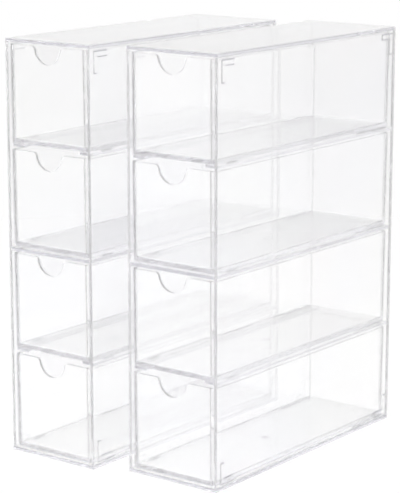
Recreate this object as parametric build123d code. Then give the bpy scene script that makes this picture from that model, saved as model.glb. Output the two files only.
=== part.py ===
from build123d import *
from math import atan2, degrees
import os

# Two clear four-drawer towers that stand side by side, each a case of bonded
# clear sheet with four one-piece moulded drawers. A full middle shelf parts the
# case in two halves; in each half the lower drawer stands on the sheet and the
# upper one on a pair of rails. Millimetres, +Z up, fronts towards -Y, origin on
# the table under the middle of the pair.

# ---- the case of one tower
case_width = 64.0
case_depth = 182.0
case_height = 250.0
sheet = 2.0                 # thickness of every bonded sheet
edge_break = 0.3            # polished break on the case's outer edges

# ---- rails that carry the upper drawer of each half
rail_thickness = 1.6
rail_width = 8.5            # from the side panel inwards
rail_recess = 3.0           # rail's front end behind the case's front

# ---- L-shaped moulded marks near the four corners of each side panel
mark_inset = 3.8            # from the case's outline to the mark
mark_width = 3.2            # width of both legs
mark_height = 12.5          # length of the upright leg
mark_length = 11.8          # length of the lying leg
mark_rise = 0.4             # how far it stands out of the outer face

# ---- one drawer
drawer_wall = 1.8
drawer_floor = 2.2
side_clearance = 0.4        # drawer rim to side panel, each side
top_clearance = 1.4         # drawer rim to the sheet or rails above
front_recess = 0.2          # drawer rim behind the case's front edges
rear_gap = 1.0              # drawer rim to back panel when closed
draft_inset = 0.6           # how far each wall leans in from the rim to the bottom
outer_corner_radius = 1.8   # upright corners outside, at the bottom
inner_corner_radius = 1.2   # upright corners inside, at the floor
floor_round = 1.0           # rounding between the floor and the walls, inside
bottom_round = 0.4          # rounding round the bottom, outside

# ---- finger notch in the drawer's front
notch_radius = 9.8
notch_depth = 10.3          # rim to the bottom of the notch
notch_shoulder = 2.4        # rounding where the notch meets the rim

# ---- the pads the drawer stands on, and its gate mark
pad_height = 0.8            # below the floor
pad_inset = 0.5             # from the bottom's side edge to the pads
pad_width = 2.0             # across
pad_length = 8.5            # along Y
pad_spacing = 11.0          # rear pads, start to start
pad_from_rear = 1.6         # bottom's rear edge to the last pad
pad_from_front = 13.5       # bottom's front edge to the front pad
rear_pads_a_side = 3
gate_radius = 2.0           # dimple in the middle of the floor's underside
gate_depth = 0.5

# ---- the pair
tower_gap = 18.0            # clear space between the two cases
left_tower_forward = 11.0   # the left tower stands this much nearer the front

# ---- worked out from the sizes above
half_pitch = (case_height - sheet) / 2
bay_height = (half_pitch - sheet - rail_thickness) / 2
drawer_height = bay_height - top_clearance
drawer_width = case_width - 2 * (sheet + side_clearance)
drawer_length = case_depth - sheet - rear_gap - front_recess
bottom_width = drawer_width - 2 * draft_inset
bottom_length = drawer_length - 2 * draft_inset
wall_slope = draft_inset / (drawer_height - pad_height)
draft_angle = degrees(atan2(draft_inset, drawer_height - pad_height))
tower_x = (tower_gap + case_width) / 2
tower_y = left_tower_forward / 2
past = 1.0                  # how far a cutting shape runs past a face

os.makedirs("parts", exist_ok=True)


def block(x, y, z):
    """A box between two corners, each axis given as (low, high)."""
    size = [high - low for low, high in (x, y, z)]
    middle = [(high + low) / 2 for low, high in (x, y, z)]
    return Pos(*middle) * Box(*size)


def outer_uprights(solid, x_sides=(-1, 1)):
    """The upright edges at the case's outer corners on the named sides."""
    edges = solid.edges().filter_by(Axis.Z)
    half_width = case_width / 2
    half_depth = case_depth / 2
    return [
        edge
        for edge in edges
        if any(abs(edge.center().X - side * half_width) < edge_break for side in x_sides)
        and abs(abs(edge.center().Y) - half_depth) < edge_break
    ]


def lid_panel(z_low, outward):
    """A full-width top or bottom sheet; outward is +1 for the top, -1 for the bottom."""
    half_width = case_width / 2
    half_depth = case_depth / 2
    panel = block((-half_width, half_width), (-half_depth, half_depth), (z_low, z_low + sheet))
    faces = panel.faces().sort_by(Axis.Z)
    outer_face = faces[-1] if outward > 0 else faces[0]
    return chamfer(outer_uprights(panel) + list(outer_face.edges()), edge_break)


def corner_mark(x_outer, x_side, y_side, z_side):
    """The L-shaped raised mark at one corner of a side panel, rooted in the sheet."""
    x_range = sorted((x_outer + x_side * mark_rise, x_outer - x_side * sheet / 2))
    y_start = y_side * (case_depth / 2 - mark_inset)
    z_middle = case_height / 2
    z_start = z_middle + z_side * (z_middle - mark_inset)
    upright = block(
        x_range,
        sorted((y_start, y_start - y_side * mark_width)),
        sorted((z_start, z_start - z_side * mark_height)),
    )
    lying = block(
        x_range,
        sorted((y_start, y_start - y_side * mark_length)),
        sorted((z_start, z_start - z_side * mark_width)),
    )
    return upright + lying


def side_panel(x_side):
    """A side sheet between the top and bottom sheets; x_side is -1 left, +1 right."""
    x_outer = x_side * case_width / 2
    half_depth = case_depth / 2
    panel = block(
        sorted((x_outer, x_outer - x_side * sheet)),
        (-half_depth, half_depth),
        (sheet, case_height - sheet),
    )
    panel = chamfer(outer_uprights(panel, (x_side,)), edge_break)
    for y_side in (-1, 1):
        for z_side in (-1, 1):
            panel = panel + corner_mark(x_outer, x_side, y_side, z_side)
    return panel


def back_panel():
    """The back sheet, between the side sheets and behind shelves and rails."""
    half_width = case_width / 2 - sheet
    half_depth = case_depth / 2
    return block(
        (-half_width, half_width),
        (half_depth - sheet, half_depth),
        (sheet, case_height - sheet),
    )


def shelf(z_top):
    """A full-width shelf between the side sheets, its top at z_top."""
    half_width = case_width / 2 - sheet
    half_depth = case_depth / 2
    return block(
        (-half_width, half_width),
        (-half_depth, half_depth - sheet),
        (z_top - sheet, z_top),
    )


def rail(x_side, z_top):
    """A ledge along the side sheet on one side, its top at z_top."""
    x_panel = x_side * (case_width / 2 - sheet)
    half_depth = case_depth / 2
    return block(
        sorted((x_panel, x_panel - x_side * rail_width)),
        (rail_recess - half_depth, half_depth - sheet),
        (z_top - rail_thickness, z_top),
    )


def drafted(inset, z_low, z_high, radius, bottom_edge_round):
    """A block that widens upwards with the drawer's draft, inset from its outside."""
    rise = wall_slope * (z_low - pad_height)
    width = bottom_width + 2 * (rise - inset)
    length = bottom_length + 2 * (rise - inset)
    profile = Pos(0, drawer_length / 2, z_low) * RectangleRounded(width, length, radius)
    solid = extrude(profile, z_high - z_low, taper=-draft_angle)
    return fillet(solid.edges().group_by(Axis.Z)[0], bottom_edge_round)


def drawer():
    """One drawer, its rim's front at y = 0 and its pads standing on z = 0."""
    body = drafted(0, pad_height, drawer_height, outer_corner_radius, bottom_round)
    z_floor = pad_height + drawer_floor
    body = body - drafted(
        drawer_wall, z_floor, drawer_height + past, inner_corner_radius, floor_round
    )
    return notched(body) + pads() - gate_mark()


def notched(body):
    """Cut the half-moon finger notch into the front wall and round its shoulders."""
    z_centre = drawer_height - (notch_depth - notch_radius)
    cutter = Rot(90, 0, 0) * Cylinder(notch_radius, drawer_wall + 2 * past)
    body = body - Pos(0, drawer_wall / 2, z_centre) * cutter
    shoulders = [
        edge
        for edge in body.edges().filter_by(Axis.Y)
        if abs(edge.center().Z - drawer_height) < drawer_wall / 2
        and abs(edge.center().X) < notch_radius + drawer_wall / 2
        and edge.center().Y < drawer_wall
    ]
    return fillet(shoulders, notch_shoulder)


def pads():
    """The pads in two rows below the floor: one near the front, the others at the rear."""
    y_bottom_front = draft_inset
    y_bottom_rear = drawer_length - draft_inset
    starts = [y_bottom_front + pad_from_front]
    for step in range(rear_pads_a_side):
        starts.append(y_bottom_rear - pad_from_rear - pad_length - step * pad_spacing)
    pieces = []
    for x_side in (-1, 1):
        x_outer = x_side * (bottom_width / 2 - pad_inset)
        x_range = sorted((x_outer, x_outer - x_side * pad_width))
        for y_start in starts:
            pieces.append(block(x_range, (y_start, y_start + pad_length), (0, pad_height)))
    return pieces


def gate_mark():
    """The round dimple in the middle of the floor's underside."""
    z_middle = pad_height + gate_depth / 2
    tool = Cylinder(gate_radius, gate_depth + past)
    return Pos(0, drawer_length / 2, z_middle - past / 2) * tool


def tower():
    """The pieces of one tower by name, in its own frame: centred, standing on z = 0."""
    pieces = {
        "top_panel": lid_panel(case_height - sheet, 1),
        "bottom_panel": lid_panel(0, -1),
        "left_side_panel": side_panel(-1),
        "right_side_panel": side_panel(1),
        "back_panel": back_panel(),
        "middle_shelf": shelf(half_pitch + sheet),
    }
    one_drawer = drawer()
    y_front = front_recess - case_depth / 2
    for half in (0, 1):
        z_sheet = sheet + half * half_pitch
        z_rails = z_sheet + bay_height + rail_thickness
        pieces[f"left_rail_{half + 1}"] = rail(-1, z_rails)
        pieces[f"right_rail_{half + 1}"] = rail(1, z_rails)
        pieces[f"drawer_{2 * half + 1}"] = Pos(0, y_front, z_sheet) * one_drawer
        pieces[f"drawer_{2 * half + 2}"] = Pos(0, y_front, z_rails) * one_drawer
    return pieces


places = {
    "right": Pos(tower_x, tower_y, 0),
    "left": Pos(-tower_x, -tower_y, 0),
}
tower_pieces = tower()
for side, place in places.items():
    for name, piece in tower_pieces.items():
        export_step(place * piece, f"parts/{side}_tower_{name}.step")
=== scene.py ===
"""Two clear drawer towers on a white table, every sheet, rail and drawer worked out on grids.

Lengths are millimetres in the functions, and become metres when a mesh is written.
"""
import bpy
import math
import numpy as np
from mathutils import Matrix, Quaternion, Vector


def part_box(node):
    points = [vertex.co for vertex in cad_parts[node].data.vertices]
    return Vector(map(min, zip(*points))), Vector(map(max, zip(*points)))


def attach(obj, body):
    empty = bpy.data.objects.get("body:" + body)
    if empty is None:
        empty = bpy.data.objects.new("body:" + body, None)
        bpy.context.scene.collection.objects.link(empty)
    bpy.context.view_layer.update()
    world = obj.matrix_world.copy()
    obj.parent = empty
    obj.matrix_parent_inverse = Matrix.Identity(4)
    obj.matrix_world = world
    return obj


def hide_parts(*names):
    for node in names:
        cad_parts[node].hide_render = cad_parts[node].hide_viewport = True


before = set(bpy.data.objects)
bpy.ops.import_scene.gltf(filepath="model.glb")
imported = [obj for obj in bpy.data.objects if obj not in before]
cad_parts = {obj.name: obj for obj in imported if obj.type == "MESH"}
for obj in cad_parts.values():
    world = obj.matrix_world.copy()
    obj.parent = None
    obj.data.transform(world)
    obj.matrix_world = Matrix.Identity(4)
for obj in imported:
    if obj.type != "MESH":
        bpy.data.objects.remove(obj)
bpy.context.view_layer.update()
scene = bpy.context.scene

MM = 0.001
BOND = 0.04             # clear cement between two bonded faces, and air under a foot

# the case
SHEET = 2.0
EDGE = 0.3              # rounding of the panels' polished edges
INNER_EDGE = 0.2        # rounding of the edges of shelves and rails
MARK_INSET = 3.8        # corner marks of the side panels
MARK_WIDTH = 3.2
MARK_HEIGHT = 12.5
MARK_LENGTH = 11.8
MARK_RISE = 0.4
MARK_SLOPE = 0.7        # width of the slope round a mark

# one drawer
WALL = 1.8
FLOOR = 2.2
DRAFT = 0.6             # how far each wall leans in from the rim to the bottom
RIM_ROUND = 0.2
BOTTOM_ROUND = 0.4
FLOOR_ROUND = 1.0
OUTER_CORNER = 1.8
INNER_CORNER = 1.2
NOTCH_RADIUS = 9.8
NOTCH_DEPTH = 10.3
NOTCH_SHOULDER = 2.4
NOTCH_REACH = 13.0      # half of the front's middle, which has no draft across
PAD = 0.8               # the pads under the floor
PAD_INSET = 0.85
PAD_WIDTH = 1.65
PAD_LENGTH = 8.5
PAD_SPACING = 11.0
PAD_FROM_REAR = 1.6
PAD_FROM_FRONT = 13.5
PAD_SLOPE = 0.2
REAR_PADS = 3
GATE_RADIUS = 2.0       # the gate mark in the middle of the underside
GATE_DEPTH = 0.4
GATE_SLOPE = 0.8
GATE_REACH = 2.6        # half of the finely gridded patch round it
PIP_RADIUS = 0.9        # the low pip in the gate mark's middle
PIP_SLOPE = 0.5
PIP_SHARE = 0.7         # of the gate mark's depth

STEP = 0.02             # a face that rises by more lies on the side of a mark or a pad

# grids of a drawer
WALL_SHARES = (0.045, 0.2, 0.4, 0.6, 0.8)      # rows of a wall between foot and rim
FLOOR_LINES_X = (15.0, 18.0, 21.0, 24.0)
FLOOR_LINES_Y = np.arange(-55.0, 46.0, 10.0)
FRONT_LINE = 6.0        # a line this far behind the bottom's front edge
CORNER_STEPS = 5


# ---------------------------------------------------------------- shapes

def smooth(value):
    """The S curve 3t^2 - 2t^3 of a value held between 0 and 1."""
    t = np.clip(value, 0.0, 1.0)
    return t * t * (3.0 - 2.0 * t)


def plateau(place, first, last, slope):
    """1 between two places and 0 beyond them, with an S curve centred on each."""
    return smooth((place - first) / slope + 0.5) * smooth((last - place) / slope + 0.5)


def step_lines(edges, slope):
    """Four grid lines across each step, so that a slope that wide keeps its shape."""
    offsets = slope * np.array([-0.5, -0.2, 0.2, 0.5])
    return (np.asarray(edges)[:, None] + offsets).ravel()


def grid_quads(rows, columns):
    """Corner numbers of the quads of a grid of points, counted row by row."""
    index = np.arange(rows * columns).reshape(rows, columns)
    return np.stack(
        [index[:-1, :-1], index[1:, :-1], index[1:, 1:], index[:-1, 1:]], axis=-1
    ).reshape(-1, 4)


def slab_lines(low, high, rounding, inner=()):
    """Grid lines along one axis of a slab: three through each edge's rounding, and the inner ones."""
    steps = rounding * np.array([0.0, 0.586, 1.0])
    return np.sort(np.concatenate([low + steps, np.asarray(inner, float), high - steps]))


def slab(lines, rounding):
    """A closed box on three sets of grid lines, its edges rounded.

    Each point of the plain box is drawn towards the nearest point of a box that is smaller by
    the rounding, until it lies one rounding away from it. Returns points, quads, and for each
    quad the axis that its side of the box faces.
    """
    low = np.array([line[0] for line in lines])
    high = np.array([line[-1] for line in lines])
    points, quads, facing, count = [], [], [], 0
    for axis in range(3):
        first, second = (axis + 1) % 3, (axis + 2) % 3
        u, v = np.meshgrid(lines[first], lines[second], indexing="ij")
        cells = grid_quads(*u.shape)
        for end in (low, high):
            side = np.empty(u.shape + (3,))
            side[..., first], side[..., second], side[..., axis] = u, v, end[axis]
            points.append(side.reshape(-1, 3))
            quads.append((cells if end is high else cells[:, ::-1]) + count)
            facing.append(np.full(len(cells), axis))
            count += u.size
    points = np.concatenate(points)
    core = np.clip(points, low + rounding, high - rounding)
    away = points - core
    reach = np.linalg.norm(away, axis=1, keepdims=True)
    points = core + away * np.where(reach > rounding, rounding / np.maximum(reach, 1e-9), 1.0)
    return points, np.concatenate(quads), np.concatenate(facing)


def mark_rise(y, z, low, high):
    """How far the four L marks stand out at a place of a side panel's outer face.

    Each leg is a product of two S-curved plateaus, one along Y and one along Z, and an L is the
    higher of its two legs.
    """
    rise = np.zeros_like(y)
    for from_y in (y - low[1], high[1] - y):
        for from_z in (z - low[2], high[2] - z):
            for along_y, along_z in ((MARK_WIDTH, MARK_HEIGHT), (MARK_LENGTH, MARK_WIDTH)):
                leg = plateau(from_y, MARK_INSET, MARK_INSET + along_y, MARK_SLOPE)
                leg = leg * plateau(from_z, MARK_INSET, MARK_INSET + along_z, MARK_SLOPE)
                rise = np.maximum(rise, leg)
    return MARK_RISE * rise


def side_panel_shape(low, high, outward):
    """A side sheet whose outer face, towards outward along X, carries the corner marks.

    The node's box reaches out to the marks' faces, and the sheet's own face lies behind them.
    Returns points, quads, the axis that each quad faces, and whether it rises along Z onto a mark.
    """
    case_low = low - np.array([0.0, 0.0, SHEET])
    case_high = high + np.array([0.0, 0.0, SHEET])
    low = low + np.array([MARK_RISE * (outward < 0), 0.0, 0.0])
    high = high - np.array([MARK_RISE * (outward > 0), 0.0, 0.0])
    lines = [slab_lines(low[0], high[0], EDGE)]
    for axis, longer in ((1, MARK_LENGTH), (2, MARK_HEIGHT)):
        edges = []
        for length in (0.0, MARK_WIDTH, longer):
            edges += [case_low[axis] + MARK_INSET + length, case_high[axis] - MARK_INSET - length]
        lines.append(slab_lines(low[axis], high[axis], EDGE, step_lines(edges, MARK_SLOPE)))
    points, quads, facing = slab(lines, EDGE)
    outer = high[0] if outward > 0 else low[0]
    on_face = np.abs(points[:, 0] - outer) < 1e-6
    rise = mark_rise(points[:, 1], points[:, 2], case_low, case_high)
    rise = np.where(on_face, rise, 0.0)
    points[:, 0] += outward * rise
    one, other = rise[quads[:, [0, 1]]], rise[quads[:, [3, 2]]]
    return points, quads, facing, np.abs(one - other).sum(axis=1) > STEP


def notch_profile(height, gate_lines):
    """The front rim's line through the finger notch, from left to right.

    A shoulder arc leads from the flat rim into a circular arc, which meets it tangentially, and
    a mirrored shoulder leads out. The arc has points above the lines of the gate mark. Returns
    places (x, z) and the directions out of the plastic.
    """
    centre_z = height - (NOTCH_DEPTH - NOTCH_RADIUS)
    shoulder_z = height - NOTCH_SHOULDER
    reach = NOTCH_RADIUS + NOTCH_SHOULDER
    shoulder_x = math.sqrt(reach ** 2 - (centre_z - shoulder_z) ** 2)
    lean = math.atan2(centre_z - shoulder_z, shoulder_x)
    turn = np.linspace(math.pi / 2, lean, 7)
    shoulder = np.stack([np.cos(turn), np.sin(turn)], axis=1)
    left = np.array([-shoulder_x, shoulder_z]) + NOTCH_SHOULDER * shoulder
    wide = np.linspace(math.pi + lean, 1.5 * math.pi - 0.28, 10)[1:]
    middle = 1.5 * math.pi + np.arcsin(gate_lines / NOTCH_RADIUS)
    arc = np.concatenate([wide, middle, 3 * math.pi - wide[::-1]])
    outward = -np.stack([np.cos(arc), np.sin(arc)], axis=1)
    bowl = np.array([0.0, centre_z]) - NOTCH_RADIUS * outward
    mirror = np.array([-1.0, 1.0])
    places = np.concatenate([left, bowl, (left * mirror)[::-1]])
    return places, np.concatenate([shoulder, outward, (shoulder * mirror)[::-1]])


def wall_rows():
    """The rows of loops round a drawer, from the bottom's edge over the rim to the floor's edge.

    Returns four columns: the share of the way up the wall, the depth below the rim, the inset
    from the outside, and the height of the wall's foot. The roundings are quarter circles.
    """
    z_floor = PAD + FLOOR
    turn = np.radians([0.0, 30.0, 60.0, 90.0])
    edge = list(zip(np.sin(turn), np.cos(turn)))
    turn = np.radians(np.linspace(0, 90, 6))
    hollow = zip(np.sin(turn), np.cos(turn))
    rows = [(0.0, 0.0, BOTTOM_ROUND * (1 - s), PAD + BOTTOM_ROUND * (1 - c)) for s, c in edge]
    rows += [(t, RIM_ROUND, 0.0, PAD + BOTTOM_ROUND) for t in WALL_SHARES]
    rows += [(1.0, RIM_ROUND * (1 - s), RIM_ROUND * (1 - c), 0.0) for s, c in edge]
    rows += [(1.0, RIM_ROUND * (1 - s), WALL - RIM_ROUND * (1 - c), 0.0) for s, c in edge[::-1]]
    rows += [(t, RIM_ROUND, WALL, z_floor + FLOOR_ROUND) for t in WALL_SHARES[::-1]]
    rows += [(0.0, 0.0, WALL + FLOOR_ROUND * (1 - c), z_floor + FLOOR_ROUND * (1 - s))
             for s, c in hollow]
    return [np.array(column)[:, None] for column in zip(*rows)]


def drawer_shape(low, high):
    """A one-piece drafted drawer between two corners, as one closed surface.

    Loops run round the drawer: round the bottom edge, up the outside, over the rim, down the
    inside and round the floor's edge. A loop is a core rectangle pushed out by its corner
    radius. In the front wall the loops' tops follow the notch's line. A grid closes the floor,
    and another the underside, which is raised at the gate mark and lowered at the pads.
    Returns points, quads, triangles, and two masks of the faces: the rim's, and the slopes of
    the pads and the gate mark.
    """
    width, length, height = high - low
    middle = (low + high) / 2
    half_x, half_y = width / 2 - DRAFT, length / 2 - DRAFT
    limit_x = half_x - OUTER_CORNER
    limit_y = half_y - OUTER_CORNER

    # lines across, which follow the notch along the front's top, and lines front to back
    gate = np.linspace(-GATE_REACH, GATE_REACH, 14)
    pad_x = half_x - PAD_INSET - np.array([0.0, PAD_WIDTH])
    notch, notch_out = notch_profile(height, gate)
    right = np.concatenate([FLOOR_LINES_X, step_lines(pad_x[::-1], PAD_SLOPE), [limit_x]])
    flat = np.stack([right, np.full(right.size, height)], axis=1)
    up = np.zeros_like(flat) + np.array([0.0, 1.0])
    top = np.concatenate([(flat * np.array([-1.0, 1.0]))[::-1], notch, flat])
    top_out = np.concatenate([up, notch_out, up])
    lines_x = top[:, 0]
    starts = [PAD_FROM_FRONT - half_y]
    starts += [half_y - PAD_FROM_REAR - PAD_LENGTH - k * PAD_SPACING for k in range(REAR_PADS)]
    pad_y = np.sort(np.array([[start, start + PAD_LENGTH] for start in starts]).ravel())
    lines_y = np.sort(np.concatenate([
        [-limit_y, FRONT_LINE - half_y], FLOOR_LINES_Y, [limit_y], gate, step_lines(pad_y, PAD_SLOPE)
    ]))

    # the core rectangle: front, right, rear and left side, with a corner's steps after each
    nx, ny = lines_x.size, lines_y.size
    quarter = np.linspace(0, math.pi / 2, CORNER_STEPS + 2)[1:-1]
    corner_x, corner_y = np.full(CORNER_STEPS, limit_x), np.full(CORNER_STEPS, limit_y)
    core_x = np.concatenate([lines_x, corner_x, np.full(ny, limit_x), corner_x,
                             lines_x[::-1], -corner_x, np.full(ny, -limit_x), -corner_x])
    core_y = np.concatenate([np.full(nx, -limit_y), -corner_y, lines_y, corner_y,
                             np.full(nx, limit_y), corner_y, lines_y[::-1], -corner_y])
    angle = np.concatenate([np.full(nx, -math.pi / 2), quarter - math.pi / 2, np.zeros(ny), quarter,
                            np.full(nx, math.pi / 2), quarter + math.pi / 2,
                            np.full(ny, math.pi), quarter + math.pi])
    count = core_x.size
    rim_z = np.full(count, height)
    rim_z[:nx] = top[:, 1]
    out_x, out_z = np.zeros(count), np.ones(count)
    out_x[:nx], out_z[:nx] = top_out[:, 0], top_out[:, 1]

    # every row's loop: the rectangle's size and corner radius follow the draft at its height
    share, depth, inset, foot = wall_rows()
    z = (1 - share) * foot + share * (rim_z - out_z * depth)
    x = (1 - share) * core_x + share * (core_x - out_x * depth)
    slope = DRAFT / (height - PAD)
    hx = width / 2 - slope * (height - z) - inset
    hy = length / 2 - slope * (height - z) - inset
    outer_radius = OUTER_CORNER + slope * (z - PAD) - inset
    inner_radius = INNER_CORNER + slope * (z - PAD - FLOOR) - (inset - WALL)
    radius = np.where(inset < WALL / 2, outer_radius, inner_radius)
    spread = (hx - radius - NOTCH_REACH) / (limit_x - NOTCH_REACH)
    beyond = np.maximum(np.abs(x) - NOTCH_REACH, 0.0)
    x = np.sign(x) * (np.minimum(np.abs(x), NOTCH_REACH) + beyond * spread)
    y = core_y * (hy - radius) / limit_y
    loops = np.stack([x + radius * np.cos(angle), y + radius * np.sin(angle), z], axis=-1)

    # quads between the loops, then the underside and the floor with a band to their loops
    along = np.arange(count)
    following = (along + 1) % count
    last_row = len(z) - 1
    ring = (np.arange(last_row) * count)[:, None]
    quads = [np.stack([ring + along, ring + following, ring + following + count,
                       ring + along + count], axis=-1).reshape(-1, 4)]
    triangles = []
    points = [loops.reshape(-1, 3)]
    border = np.concatenate([
        np.arange(nx) * ny, np.full(CORNER_STEPS, (nx - 1) * ny), (nx - 1) * ny + np.arange(ny),
        np.full(CORNER_STEPS, nx * ny - 1), np.arange(nx)[::-1] * ny + ny - 1,
        np.full(CORNER_STEPS, ny - 1), np.arange(ny)[::-1], np.zeros(CORNER_STEPS, int)])
    for row in (0, last_row):
        start = sum(len(part) for part in points)
        grid_x = x[row, :nx]
        grid_y = y[row, nx + CORNER_STEPS:nx + CORNER_STEPS + ny]
        gx, gy = np.meshgrid(grid_x, grid_y, indexing="ij")
        gz = np.full(gx.shape, z[row, 0])
        if row == 0:
            gz += underside(gx, gy, pad_x, pad_y)
        points.append(np.stack([gx, gy, gz], axis=-1).reshape(-1, 3))
        loop = row * count + along
        band = np.stack([loop, row * count + following, border[following] + start,
                         border + start], axis=-1)
        corner = border == border[following]
        order = slice(None, None, -1) if row == 0 else slice(None)
        quads += [(grid_quads(nx, ny) + start)[:, order], band[~corner][:, order]]
        triangles.append(band[corner][:, :3][:, order])
    points = np.concatenate(points) + np.array([middle[0], middle[1], low[2]])
    quads, triangles = np.concatenate(quads), np.concatenate(triangles)
    on_rim = np.zeros(len(quads) + len(triangles), bool)
    on_rim[:last_row * count] = np.repeat((share[1:] + share[:-1])[:, 0] == 2.0, count)
    on_step = np.zeros_like(on_rim)
    below = slice(last_row * count, last_row * count + (nx - 1) * (ny - 1))
    on_step[below] = np.ptp(points[quads[below], 2], axis=1) > STEP
    return points, quads, triangles, on_rim, on_step


def underside(x, y, pad_x, pad_y):
    """Height of the underside over its flat: minus the pads' height, plus the gate mark's depth.

    A pad is a product of plateaus across and along; the gate mark is a shallow bowl with a low
    pip in its middle, both S curves of the distance from it.
    """
    across = plateau(np.abs(x), pad_x[1], pad_x[0], PAD_SLOPE)
    along = np.zeros_like(y)
    for first, last in pad_y.reshape(-1, 2):
        along = np.maximum(along, plateau(y, first, last, PAD_SLOPE))
    away = np.hypot(x, y)
    bowl = GATE_DEPTH * smooth((GATE_RADIUS - away) / GATE_SLOPE + 0.5)
    pip = PIP_SHARE * GATE_DEPTH * smooth((PIP_RADIUS - away) / PIP_SLOPE)
    return bowl - pip - (PAD - BOND) * across * along


def in_front_wall(points, faces, low, high):
    """Which faces lie in a drawer's front wall, off its corners and above the floor."""
    off_middle = np.abs(points[:, 0] - (low[0] + high[0]) / 2)
    in_wall = points[faces, 1].max(axis=1) < low[1] + WALL + DRAFT + 0.1
    off_corners = off_middle[faces].max(axis=1) < (high[0] - low[0]) / 2 - WALL - DRAFT
    above_floor = points[faces, 2].min(axis=1) > low[2] + PAD + FLOOR
    return in_wall & off_corners & above_floor


# ---------------------------------------------------------------- writing meshes

def face_normals(points, faces):
    """Normals of faces, as long as their areas: half the cross product of two spanning lines."""
    if faces.shape[1] == 3:
        one, other = (0, 1), (0, 2)
    else:
        one, other = (0, 2), (1, 3)
    lines = [points[faces[:, end]] - points[faces[:, start]] for start, end in (one, other)]
    return 0.5 * np.cross(*lines)


def write_mesh(name, points, quads, triangles, masks):
    """A mesh in metres with smooth shading whose normals follow the larger faces.

    Points that lie together become one. A corner's normal is the sum of its faces' normals,
    each as long as the face is large, so that flat sheets stay flat beside small roundings.
    The masks are face values that the materials read by name.
    """
    rounded = np.round(points, 4)
    _, first, number = np.unique(rounded, axis=0, return_index=True, return_inverse=True)
    points = points[first]
    number = number.ravel()
    parts = [number[faces] for faces in (quads, triangles) if faces is not None]
    normals = np.zeros_like(points)
    for faces in parts:
        vectors = face_normals(points, faces)
        for corner in range(faces.shape[1]):
            np.add.at(normals, faces[:, corner], vectors)
    normals /= np.maximum(np.linalg.norm(normals, axis=1, keepdims=True), 1e-12)
    corners = np.concatenate([faces.ravel() for faces in parts])
    sizes = np.concatenate([np.full(len(faces), faces.shape[1]) for faces in parts])
    starts = np.concatenate([[0], np.cumsum(sizes)[:-1]])
    mesh = bpy.data.meshes.new(name)
    mesh.vertices.add(len(points))
    mesh.vertices.foreach_set("co", (points * MM).astype(np.float32).ravel())
    mesh.loops.add(len(corners))
    mesh.loops.foreach_set("vertex_index", corners.astype(np.int32))
    mesh.polygons.add(len(sizes))
    mesh.polygons.foreach_set("loop_start", starts.astype(np.int32))
    mesh.polygons.foreach_set("use_smooth", np.ones(len(sizes), bool))
    mesh.update(calc_edges=True)
    for mask, values in masks.items():
        held = mesh.attributes.new(mask, "FLOAT", "FACE")
        held.data.foreach_set("value", values.astype(np.float32))
    mesh.normals_split_custom_set_from_vertices(normals.astype(np.float32))
    return mesh


def add_piece(node, body, material, mesh):
    """A piece that shows in place of its CAD node and moves with that node's body."""
    mesh.materials.append(material)
    piece = bpy.data.objects.new(node + "_clear", mesh)
    scene.collection.objects.link(piece)
    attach(piece, body)
    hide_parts(node)


def node_box(node):
    """A node's lowest and highest corners in millimetres."""
    low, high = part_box(node)
    return np.array(low) / MM, np.array(high) / MM


# ---------------------------------------------------------------- materials

class Socket:
    """A shader value or colour that can be used in sums and products."""

    def __init__(self, shader, link):
        self.shader = shader
        self.link = link

    def math(self, operation, *others):
        return self.shader.node("ShaderNodeMath", {"operation": operation}, (self,) + others)

    def __add__(self, other):
        return self.math("ADD", other)

    def __sub__(self, other):
        return self.math("SUBTRACT", other)

    def __mul__(self, other):
        return self.math("MULTIPLY", other)

    def __rsub__(self, other):
        return self.shader.node("ShaderNodeMath", {"operation": "SUBTRACT"}, (other, self))

    __radd__ = __add__

    def between(self, low, high):
        """0 below low, 1 above high, and an S curve between."""
        return self.shader.node(
            "ShaderNodeMapRange", {"interpolation_type": "SMOOTHSTEP"}, (self, low, high, 0.0, 1.0)
        )


class Shader:
    """A node tree that nodes are added to by type, settings and inputs."""

    def __init__(self, owner):
        owner.use_nodes = True
        self.tree = owner.node_tree
        self.tree.nodes.clear()

    def node(self, kind, settings=None, inputs=(), output=0):
        made = self.tree.nodes.new(kind)
        for name, value in (settings or {}).items():
            setattr(made, name, value)
        pairs = inputs.items() if isinstance(inputs, dict) else enumerate(inputs)
        for key, value in pairs:
            if isinstance(value, Socket):
                self.tree.links.new(value.link, made.inputs[key])
            else:
                made.inputs[key].default_value = value
        return Socket(self, made.outputs[output]) if made.outputs else None

    def colour(self, factor, one, other):
        """A colour between two, by a factor."""
        made = self.tree.nodes.new("ShaderNodeMix")
        made.data_type = "RGBA"
        for key, value in ((0, factor), (6, one), (7, other)):
            if isinstance(value, Socket):
                self.tree.links.new(value.link, made.inputs[key])
            else:
                made.inputs[key].default_value = tuple(value) + (1.0,)
        return Socket(self, made.outputs[2])

    def ray(self, *kinds):
        """1 for light paths of any of the named kinds, and 0 for others."""
        parts = [self.node("ShaderNodeLightPath", output=RAY_KINDS[kind]) for kind in kinds]
        return parts[0] if len(parts) == 1 else parts[0].math("MAXIMUM", parts[1])

    def face_value(self, name):
        """A mask that write_mesh put on the faces."""
        return self.node("ShaderNodeAttribute", {"attribute_name": name}, output=2)

    def noise(self, place, scale, detail=2.0, roughness=0.5, stretch=(1.0, 1.0, 1.0), shift=0.0):
        """A noise value over a place, its cells stretched along the axes."""
        spread = self.node(
            "ShaderNodeMapping", {}, {"Vector": place, "Scale": stretch, "Location": (shift,) * 3}
        )
        return self.node(
            "ShaderNodeTexNoise", {},
            {"Vector": spread, "Scale": scale, "Detail": detail, "Roughness": roughness},
        )


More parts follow.
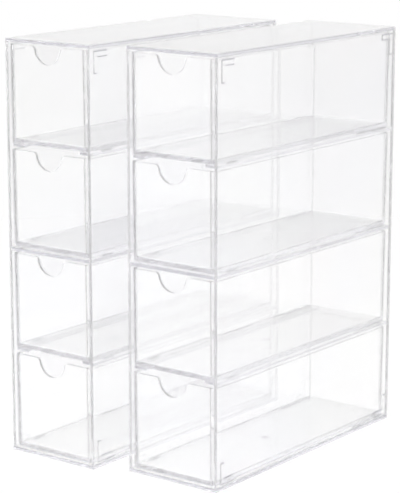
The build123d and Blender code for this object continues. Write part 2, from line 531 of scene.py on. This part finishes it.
RAY_KINDS = {"camera": 0, "shadow": 1, "diffuse": 2, "glossy": 3, "transmission": 6}
OBJECT_PLACE = 3        # output of the texture coordinate node
WHITE = (1.0, 1.0, 1.0, 1.0)
COOL = (0.9965, 0.9965, 1.0)
WARM = (1.0, 1.0, 0.9965)
ROSY = (1.0, 0.9955, 0.9975)
# painted shade on cut edges: a cooler, darker colour than the sheet's own
PAINTED_EDGE_SHADE = (0.965, 0.96, 0.985)
# painted shade on the slopes of moulded marks and pads: a dark colour
PAINTED_SLOPE_SHADE = (0.25, 0.25, 0.28)
ABSORB = (0.30, 0.28, 0.40, 1.0)    # colour that long ways through the plastic tend to
DENSITY = 2.2                       # per metre
FRONT_HAZE = 0.08       # more haze in the drawers' fronts
CUT_CLEAR = 0.9         # share of the haze that a cut edge lacks
SMUDGE = 0.012          # roughness of a smudge
POLISH = 0.03           # roughness of the polishing wheel's lines
PASSING = (0.995, 0.995, 0.997, 1.0)
SCRATCH = 0.000002      # metres
REFRACTION = 1.49


def clear_plastic(name, ripple, scuffs, bloom):
    """Clear acrylic: it refracts, dims light along the way, and lets light through to the table.

    The tint wanders a little between cool, warm and rosy. Broad ripples and fine hairlines bend
    the normal, and hairlines and smudges dull the gloss. A bloom of white haze lies on every
    face, more in the drawers' fronts, less on cut edges and none on rims. Cut edges carry
    painted shade, a little cooler and darker, and keep the fine lines of the polishing wheel.
    The slopes of moulded marks and pads carry painted shade, a much darker colour.
    """
    material = bpy.data.materials.new(name)
    sh = Shader(material)
    place = sh.node("ShaderNodeTexCoord", output=OBJECT_PLACE)
    masks = ("cut_edge", "front_wall", "rim", "step")
    cut, front, rim, step = (sh.face_value(mask) for mask in masks)

    drift = sh.noise(place, 9.0, 1.0, shift=3.1).between(0.35, 0.65)
    rosy = sh.noise(place, 13.0, 1.0, shift=7.7).between(0.52, 0.72)
    tint_and_painted_shade = sh.colour(rosy, sh.colour(drift, COOL, WARM), ROSY)
    # painted shade: the cut edges get a cooler, darker colour
    tint_and_painted_shade = sh.colour(cut, tint_and_painted_shade, PAINTED_EDGE_SHADE)
    # painted shade: the slopes of marks and pads get a much darker colour
    tint_and_painted_shade = sh.colour(step, tint_and_painted_shade, PAINTED_SLOPE_SHADE)

    hairline = sh.noise(place, 900.0, 3.0, 0.6, (1.0, 0.02, 1.0)).between(0.62, 0.74)
    smudge = sh.noise(place, 38.0, 3.0, 0.55, shift=1.3).between(0.55, 0.8)
    wheel = sh.noise(place, 2500.0, 2.0, 0.5, (0.05, 1.0, 0.05))
    dull = hairline * scuffs + smudge * SMUDGE + cut * wheel * POLISH

    swell = sh.noise(place, 42.0, 2.0, 0.45, shift=5.5)
    normal = sh.node(
        "ShaderNodeBump", {}, {"Height": swell, "Strength": 1.0, "Distance": ripple}
    )
    normal = sh.node(
        "ShaderNodeBump", {},
        {"Height": hairline + cut * wheel, "Strength": 0.1, "Distance": SCRATCH, "Normal": normal},
    )

    solid = sh.node("ShaderNodeBsdfPrincipled", {}, {
        "Base Color": tint_and_painted_shade, "Roughness": dull, "Normal": normal, "IOR": REFRACTION,
        "Transmission Weight": 1.0,
    })
    haze = sh.node("ShaderNodeBsdfDiffuse", {}, {"Color": WHITE})
    milky = front * FRONT_HAZE + (1.0 - rim) * (1.0 - cut * CUT_CLEAR) * bloom
    solid = sh.node("ShaderNodeMixShader", {}, (milky, solid, haze))
    passing = sh.node("ShaderNodeBsdfTransparent", {}, {"Color": PASSING})
    surface = sh.node("ShaderNodeMixShader", {}, (sh.ray("shadow", "diffuse"), solid, passing))
    depth = sh.node("ShaderNodeVolumeAbsorption", {}, {"Color": ABSORB, "Density": DENSITY})
    sh.node("ShaderNodeOutputMaterial", {}, {"Surface": surface, "Volume": depth})
    return material


# ---------------------------------------------------------------- stage, light and camera

TABLE_HALF = 30.0       # metres
FAR_GREY = 0.1          # whiteness lost per metre, seen through or mirrored in the plastic
FAR_LIMIT = 1.6         # metres; farther out it stays the same
NEAR_GLOW = 0.8         # share of its own white near the towers; the rest shows their shade
ROOM = 0.7              # brightness of the room on matt faces
DIP = 0.58              # brightness lost in a band above the horizon, through the plastic
DIP_START = (0.075, 0.175)          # sines of the heights between which the band sets in
DIP_END = (0.22, 0.42)              # and between which it ends


def table_top():
    """A plain pale table top far larger than the view, one flat square.

    To the eye and through the plastic it glows white apart from the towers' shade, and through
    the plastic it turns a little greyer with the distance.
    """
    far = TABLE_HALF
    mesh = bpy.data.meshes.new("table_top")
    mesh.from_pydata([(-far, -far, 0), (far, -far, 0), (far, far, 0), (-far, far, 0)],
                     [], [(0, 1, 2, 3)])
    table = bpy.data.objects.new("table_top", mesh)
    scene.collection.objects.link(table)
    material = bpy.data.materials.new("white_table")
    sh = Shader(material)
    place = sh.node("ShaderNodeTexCoord", output=OBJECT_PLACE)
    grain = sh.noise(place, 300.0, 3.0).between(0.3, 0.7)
    paper = sh.colour(grain, (0.93, 0.93, 0.93), (0.95, 0.95, 0.95))
    matt = sh.node("ShaderNodeBsdfDiffuse", {}, {"Color": paper})
    away = sh.node("ShaderNodeVectorMath", {"operation": "LENGTH"}, (place,), output=1)
    seen = sh.ray("camera")
    strength = 1.0 - away.math("MINIMUM", FAR_LIMIT) * (1.0 - seen) * FAR_GREY
    glow = sh.node("ShaderNodeEmission", {}, {"Color": WHITE, "Strength": strength})
    shown = seen.math("MAXIMUM", sh.ray("glossy", "transmission"))
    share = shown * (away.between(0.25, 0.7) * (1.0 - NEAR_GLOW) + NEAR_GLOW)
    surface = sh.node("ShaderNodeMixShader", {}, (share, matt, glow))
    sh.node("ShaderNodeOutputMaterial", {}, {"Surface": surface})
    mesh.materials.append(material)


def studio():
    """A white room, dimmer as a lamp on matt faces than it looks.

    Through the plastic and mirrored in it, a band above the horizon is greyer, which tells the
    floors and the tops from the walls.
    """
    world = bpy.data.worlds.new("studio")
    scene.world = world
    sh = Shader(world)
    place = sh.node("ShaderNodeTexCoord")
    height = sh.node("ShaderNodeSeparateXYZ", {}, (place,), output=2)
    dip = height.between(*DIP_START) - height.between(*DIP_END)
    bent = 1.0 - dip * DIP
    room = ROOM + (bent - ROOM) * sh.ray("glossy", "transmission")
    strength = room + (1.0 - room) * sh.ray("camera")
    glow = sh.node("ShaderNodeBackground", {}, {"Color": WHITE, "Strength": strength})
    sh.node("ShaderNodeOutputWorld", {}, {"Surface": glow})


def softbox(name, place, target, size, power):
    """A large square lamp that faces a point."""
    light = bpy.data.lights.new(name, "AREA")
    light.shape = "SQUARE"
    light.size = size
    light.energy = power
    lamp = bpy.data.objects.new(name, light)
    lamp.location = place
    lamp.rotation_euler = (Vector(target) - Vector(place)).to_track_quat("-Z", "Y").to_euler()
    lamp.visible_camera = False
    lamp.visible_transmission = False
    lamp.visible_glossy = False
    scene.collection.objects.link(lamp)


FOCAL = 1947.6                      # pixels, fitted to the right tower's outline
PICTURE_HEIGHT = 493                # pixels, the longer side
SENSOR = 36.0
CAMERA_PLACE = (0.70446, -0.926, 0.37215)
YAW, PITCH, ROLL = (math.radians(angle) for angle in (37.427, -12.276, 0.029))


def camera():
    """The camera of the photograph: its place, bearing and lens for a 400 by 493 picture."""
    ahead = Vector((-math.sin(YAW) * math.cos(PITCH), math.cos(YAW) * math.cos(PITCH),
                    math.sin(PITCH)))
    lens = bpy.data.cameras.new("camera")
    lens.sensor_fit = "AUTO"
    lens.sensor_width = SENSOR
    lens.lens = FOCAL / PICTURE_HEIGHT * SENSOR
    view = bpy.data.objects.new("camera", lens)
    view.rotation_mode = "QUATERNION"
    view.rotation_quaternion = Quaternion(ahead, -ROLL) @ ahead.to_track_quat("-Z", "Y")
    view.location = CAMERA_PLACE
    scene.collection.objects.link(view)
    scene.camera = view


# ---------------------------------------------------------------- the pair of towers

# how much each piece gives way to the sheets it is bonded to: low corner, high corner
BONDED = {
    "top_panel": ((0, 0, 0), (0, 0, 0)),
    "bottom_panel": ((0, 0, 1), (0, 0, 0)),
    "left_side_panel": ((0, 0, 1), (0, 0, 1)),
    "right_side_panel": ((0, 0, 1), (0, 0, 1)),
    "back_panel": ((1, 0, 1), (1, 0, 1)),
    "middle_shelf": ((1, 0, 0), (1, 1, 0)),
    "left_rail_1": ((1, 0, 0), (0, 1, 0)),
    "left_rail_2": ((1, 0, 0), (0, 1, 0)),
    "right_rail_1": ((0, 0, 0), (1, 1, 0)),
    "right_rail_2": ((0, 0, 0), (1, 1, 0)),
}
THIN_AXIS = {"left_side_panel": 0, "right_side_panel": 0, "back_panel": 1}
SIDE_CUT = 0.15         # how much of a cut edge's look, its painted shade with it, the side panels' edges have
PLASTICS = {            # name, ripples in metres, roughness of hairlines, bloom
    "sheet": ("clear_sheet", 0.000002, 0.02, 0.04),
    "right_side_panel": ("side_sheet", 0.000002, 0.02, 0.065),
    "left_side_panel": ("hazy_sheet", 0.000002, 0.03, 0.11),
    "rail": ("clear_rail", 0.000002, 0.05, 0.04),
    "drawer": ("clear_moulding", 0.000006, 0.03, 0.045),
}


def build_case(side, plastics):
    """The sheets and rails of one tower."""
    for part, (give_low, give_high) in BONDED.items():
        node = f"{side}_tower_{part}"
        low, high = node_box(node)
        low = low + BOND * np.array(give_low)
        high = high - BOND * np.array(give_high)
        upright = part.endswith("side_panel")
        if upright:
            outward = -1 if part.startswith("left") else 1
            points, quads, facing, on_step = side_panel_shape(low, high, outward)
        else:
            rounding = EDGE if part.endswith("panel") else INNER_EDGE
            lines = [slab_lines(a, b, rounding) for a, b in zip(low, high)]
            points, quads, facing = slab(lines, rounding)
            on_step = np.zeros(len(quads), bool)
        cut_edge = facing != THIN_AXIS.get(part, 2)
        # both masks mark faces with painted shade: cut edges lightly, the slopes of marks darkly
        masks = {"cut_edge": cut_edge * (SIDE_CUT if upright else 1.0), "step": on_step}
        mesh = write_mesh(node + "_clear", points, quads, None, masks)
        kind = "rail" if "rail" in part else part
        plastic = plastics.get(kind, plastics["sheet"])
        add_piece(node, f"{side}_case", plastic, mesh)


def build_drawers(side, plastics):
    """The four drawers of one tower."""
    for number in range(1, 5):
        node = f"{side}_tower_drawer_{number}"
        low, high = node_box(node)
        points, quads, triangles, on_rim, on_step = drawer_shape(low, high)
        in_front = np.concatenate(
            [in_front_wall(points, faces, low, high) for faces in (quads, triangles)]
        )
        # the step mask marks the slopes of the pads and the gate mark, which get painted shade
        masks = {"front_wall": in_front & ~on_rim, "rim": on_rim, "step": on_step}
        mesh = write_mesh(node + "_clear", points, quads, triangles, masks)
        add_piece(node, f"{side}_drawer_{number}", plastics["drawer"], mesh)


# ways through many clear walls need many bounces; the filter softens as the photograph does
cycles = scene.cycles
cycles.max_bounces = 40
cycles.transmission_bounces = 40
cycles.transparent_max_bounces = 64
cycles.glossy_bounces = 40
cycles.diffuse_bounces = 4
cycles.caustics_reflective = False
cycles.caustics_refractive = False
cycles.filter_width = 2.0
scene.view_settings.view_transform = "Standard"

camera()
table_top()
studio()
softbox("key_lamp", (-1.6, -1.2, 2.6), (0, 0, 0.1), 2.0, 50)
softbox("fill_lamp", (2.2, -0.6, 1.8), (0, 0, 0.1), 2.0, 25)
plastics = {kind: clear_plastic(*values) for kind, values in PLASTICS.items()}
for side in ("right", "left"):
    build_case(side, plastics)
    build_drawers(side, plastics)
